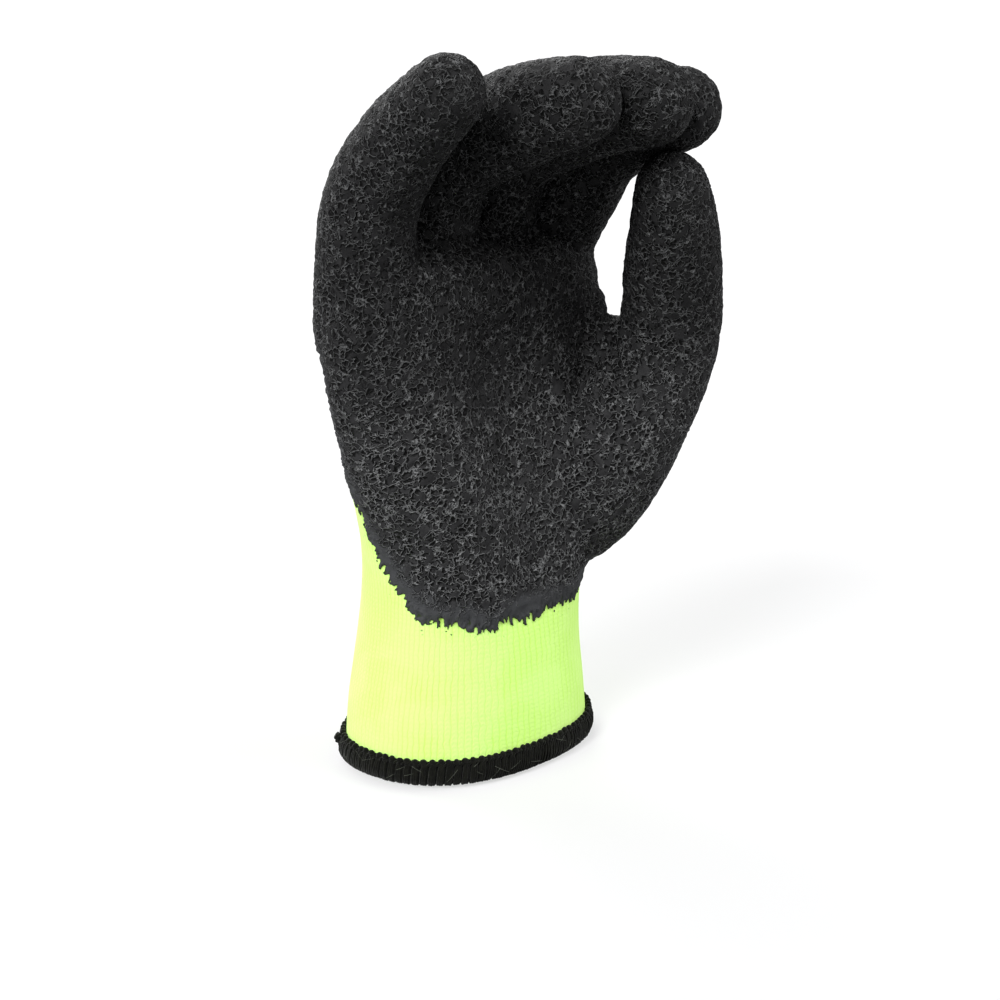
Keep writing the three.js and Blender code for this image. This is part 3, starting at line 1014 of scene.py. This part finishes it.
# each stitch's thread, of a few plies side by side, from the hem's outer top down and round to the inside
def makeWraps(plan):
    draw = random.Random(plan["seed"])
    step = 1 / hemPlan["stitches"]
    lines = []
    for turn in evenTurns(hemPlan["stitches"]):
        lean = plan["slant"] * step * draw.uniform(*plan["slantRange"])
        tight = draw.uniform(*plan["tightRange"])
        for ply in range(plan["plies"]):
            beside = (ply - (plan["plies"] - 1) / 2) * plan["plySpread"] * step
            bulge = draw.uniform(*plan["bulge"])
            line = []
            for row in rollSection[1:]:
                share = row["height"] / hemPlan["top"]
                outer = row["out"] > plan["outerFrom"]
                pinch = 1 - plan["pinch"] * share ** plan["pinchPower"] if outer else 1
                side = lean * (share - 0.5) * (1 if outer else plan["innerSlant"]) + beside * pinch
                raised = bulge if outer else plan["innerBulge"]
                outward = row["out"] + raised + draw.uniform(-plan["waver"], plan["waver"])
                height = max(row["height"], plan["lowest"])
                thick = tight * draw.uniform(*plan["tightRange"])
                line.append((hemPoint(turn + side, outward * mm, height * mm), thick))
            lines.append(line)
    return tubesFrom("bindingWraps", lines, plan["plyRadius"], 1, threadMaterial)


beadPlan = {
    "radius": 1.0 * mm,
    "flat": (0.94, 0.88, 0.86),  # along the hem, outwards and up
    "flatRange": (0.88, 1.12),
    "tilt": 0.5,
    "out": 0.95,
    "height": 6.9,
    "waver": 0.12,
    "segments": 8,
    "rings": 6,
    "alongStep": 0.001,  # half the turn over which the hem's direction is taken
    "seed": 5,
}


# the knots where the stitches lock along the outer top
def makeBeads(plan):
    draw = random.Random(plan["seed"])
    bm = bmesh.new()
    count = hemPlan["stitches"]
    for turn in evenTurns(count):
        turn += draw.uniform(-plan["waver"], plan["waver"]) / count
        out = (plan["out"] + draw.uniform(-plan["waver"], plan["waver"])) * mm
        middle = hemPoint(turn, out, (plan["height"] + draw.uniform(-plan["waver"], plan["waver"])) * mm)
        along = hemPoint(turn + plan["alongStep"], out, 0) - hemPoint(turn - plan["alongStep"], out, 0)
        place = Matrix.Translation(middle) @ along.to_track_quat("X", "Z").to_matrix().to_4x4()
        shape = Matrix.Diagonal((*[share * draw.uniform(*plan["flatRange"]) for share in plan["flat"]], 1))
        tilt = Matrix.Rotation(draw.uniform(-plan["tilt"], plan["tilt"]), 4, "Y")
        bmesh.ops.create_uvsphere(
            bm,
            u_segments=plan["segments"],
            v_segments=plan["rings"],
            radius=plan["radius"],
            matrix=place @ tilt @ shape,
        )
    thing = addObject("bindingBeads", meshFrom(bm, "bindingBeads"))
    thing.data.materials.append(threadMaterial)
    thing.data.shade_smooth()
    return thing


chainPlan = {"radius": 0.34 * mm, "out": 1.1, "height": 6.3, "swing": 0.5, "lift": 0.3, "steps": 8}


# the chain's two threads, which wind between the beads
def makeChain(plan):
    count = hemPlan["stitches"]
    turns = list(evenTurns(count)) + [1.0]
    lines = []
    for phase in (0, 0.5):
        line = []
        for k in range(count * plan["steps"] + 1):
            stitch = k / plan["steps"]
            turn = np.interp(stitch, range(count + 1), turns)
            wave = 2 * math.pi * (stitch + phase)
            out = plan["out"] + plan["swing"] * math.cos(wave)
            height = plan["height"] + plan["lift"] * math.sin(wave)
            line.append((hemPoint(turn, out * mm, height * mm), 1))
        lines.append(line)
    return tubesFrom("bindingChain", lines, plan["radius"], 1, threadMaterial)


fibrePlan = {
    "count": 70,
    "radius": 0.05 * mm,
    "length": (1.5, 4.0),
    "middle": (1.2, 6.4),  # the heights of their middles
    "rise": (0.3, 1.1),
    "lowest": 0.7,
    "highest": 8.2,
    "parts": 5,
    "clear": 0.35,  # how far they stand off the roll
    "bow": (0.25, 0.5),  # more of that, everywhere and in the middle
    "seed": 23,
}


# thin stray fibres that cross the wraps
def makeFibres(plan):
    draw = random.Random(plan["seed"])
    girth = 2 * math.pi * (hemPlan["wide"] + hemPlan["deep"]) / 2
    outside = [row for row in rollSection if row["out"] > 0]
    heights, outs = [row["height"] for row in outside], [row["out"] for row in outside]
    lines = []
    for _ in range(plan["count"]):
        turn, height = draw.random(), draw.uniform(*plan["middle"])
        length = draw.uniform(*plan["length"])
        rise = draw.choice((-1, 1)) * draw.uniform(*plan["rise"])
        line = []
        for k in range(plan["parts"] + 1):
            share = k / plan["parts"] - 0.5
            up = min(max(height + share * rise * length, plan["lowest"]), plan["highest"])
            beside = share * length * mm / girth
            bow = plan["bow"][0] + plan["bow"][1] * (0.25 - share * share)
            out = np.interp(up, heights, outs) + plan["clear"] + bow
            line.append((hemPoint(turn + beside, out * mm, up * mm), 1))
        lines.append(line)
    return tubesFrom("bindingFibres", lines, plan["radius"], 0, fibreMaterial)


knotPlan = {
    "turn": 0.405,
    "out": 1.9,
    "height": 5.4,
    "size": 1.35 * mm,
    "radius": 0.5 * mm,
    "winds": 5,
    "tumble": 1.7,  # half turns by which the rings lean over in all
    "uneven": 0.25,
    "unevenWaves": 3,
    "steps": 70,
    "tail": {"turn": 0.413, "out": 1.7, "height": 1.6},
    "endThickness": (0.9, 0.8),
}


# the knot where the overlock thread starts, a short thread wound on itself
def makeKnot(plan):
    middle = hemPoint(plan["turn"], plan["out"] * mm, plan["height"] * mm)
    line = []
    for k in range(plan["steps"]):
        share = k / (plan["steps"] - 1)
        around = 2 * math.pi * plan["winds"] * share
        tilt = math.pi * plan["tumble"] * share
        cosine, sine = math.cos(around), math.sin(around)
        ring = Vector((cosine, sine * math.cos(tilt), sine * math.sin(tilt)))
        reach = 1 - plan["uneven"] + plan["uneven"] * math.sin(plan["unevenWaves"] * around)
        line.append((middle + ring * plan["size"] * reach, 1))
    start = middle + Vector((0, 0, -plan["size"]))
    tail = plan["tail"]
    end = hemPoint(tail["turn"], tail["out"] * mm, tail["height"] * mm)
    startThickness, endThickness = plan["endThickness"]
    line = [(start, startThickness)] + line + [(end, endThickness)]
    return tubesFrom("bindingKnot", [line], plan["radius"], 1, threadMaterial)


bindingRoll = makeRoll()
bindingPieces = [
    bindingRoll,
    makeWraps(threadPlan),
    makeBeads(beadPlan),
    makeChain(chainPlan),
    makeFibres(fibrePlan),
    makeKnot(knotPlan),
]
print("binding:", sum(len(piece.data.polygons) for piece in bindingPieces), "faces")

for slot, pieces in {"latex": [latexCoat], "knit": [knitGlove], "binding": bindingPieces}.items():
    for piece in pieces:
        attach(piece, "root")
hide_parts("latex_coating")
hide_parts("knit_liner")
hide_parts("cuff_binding")
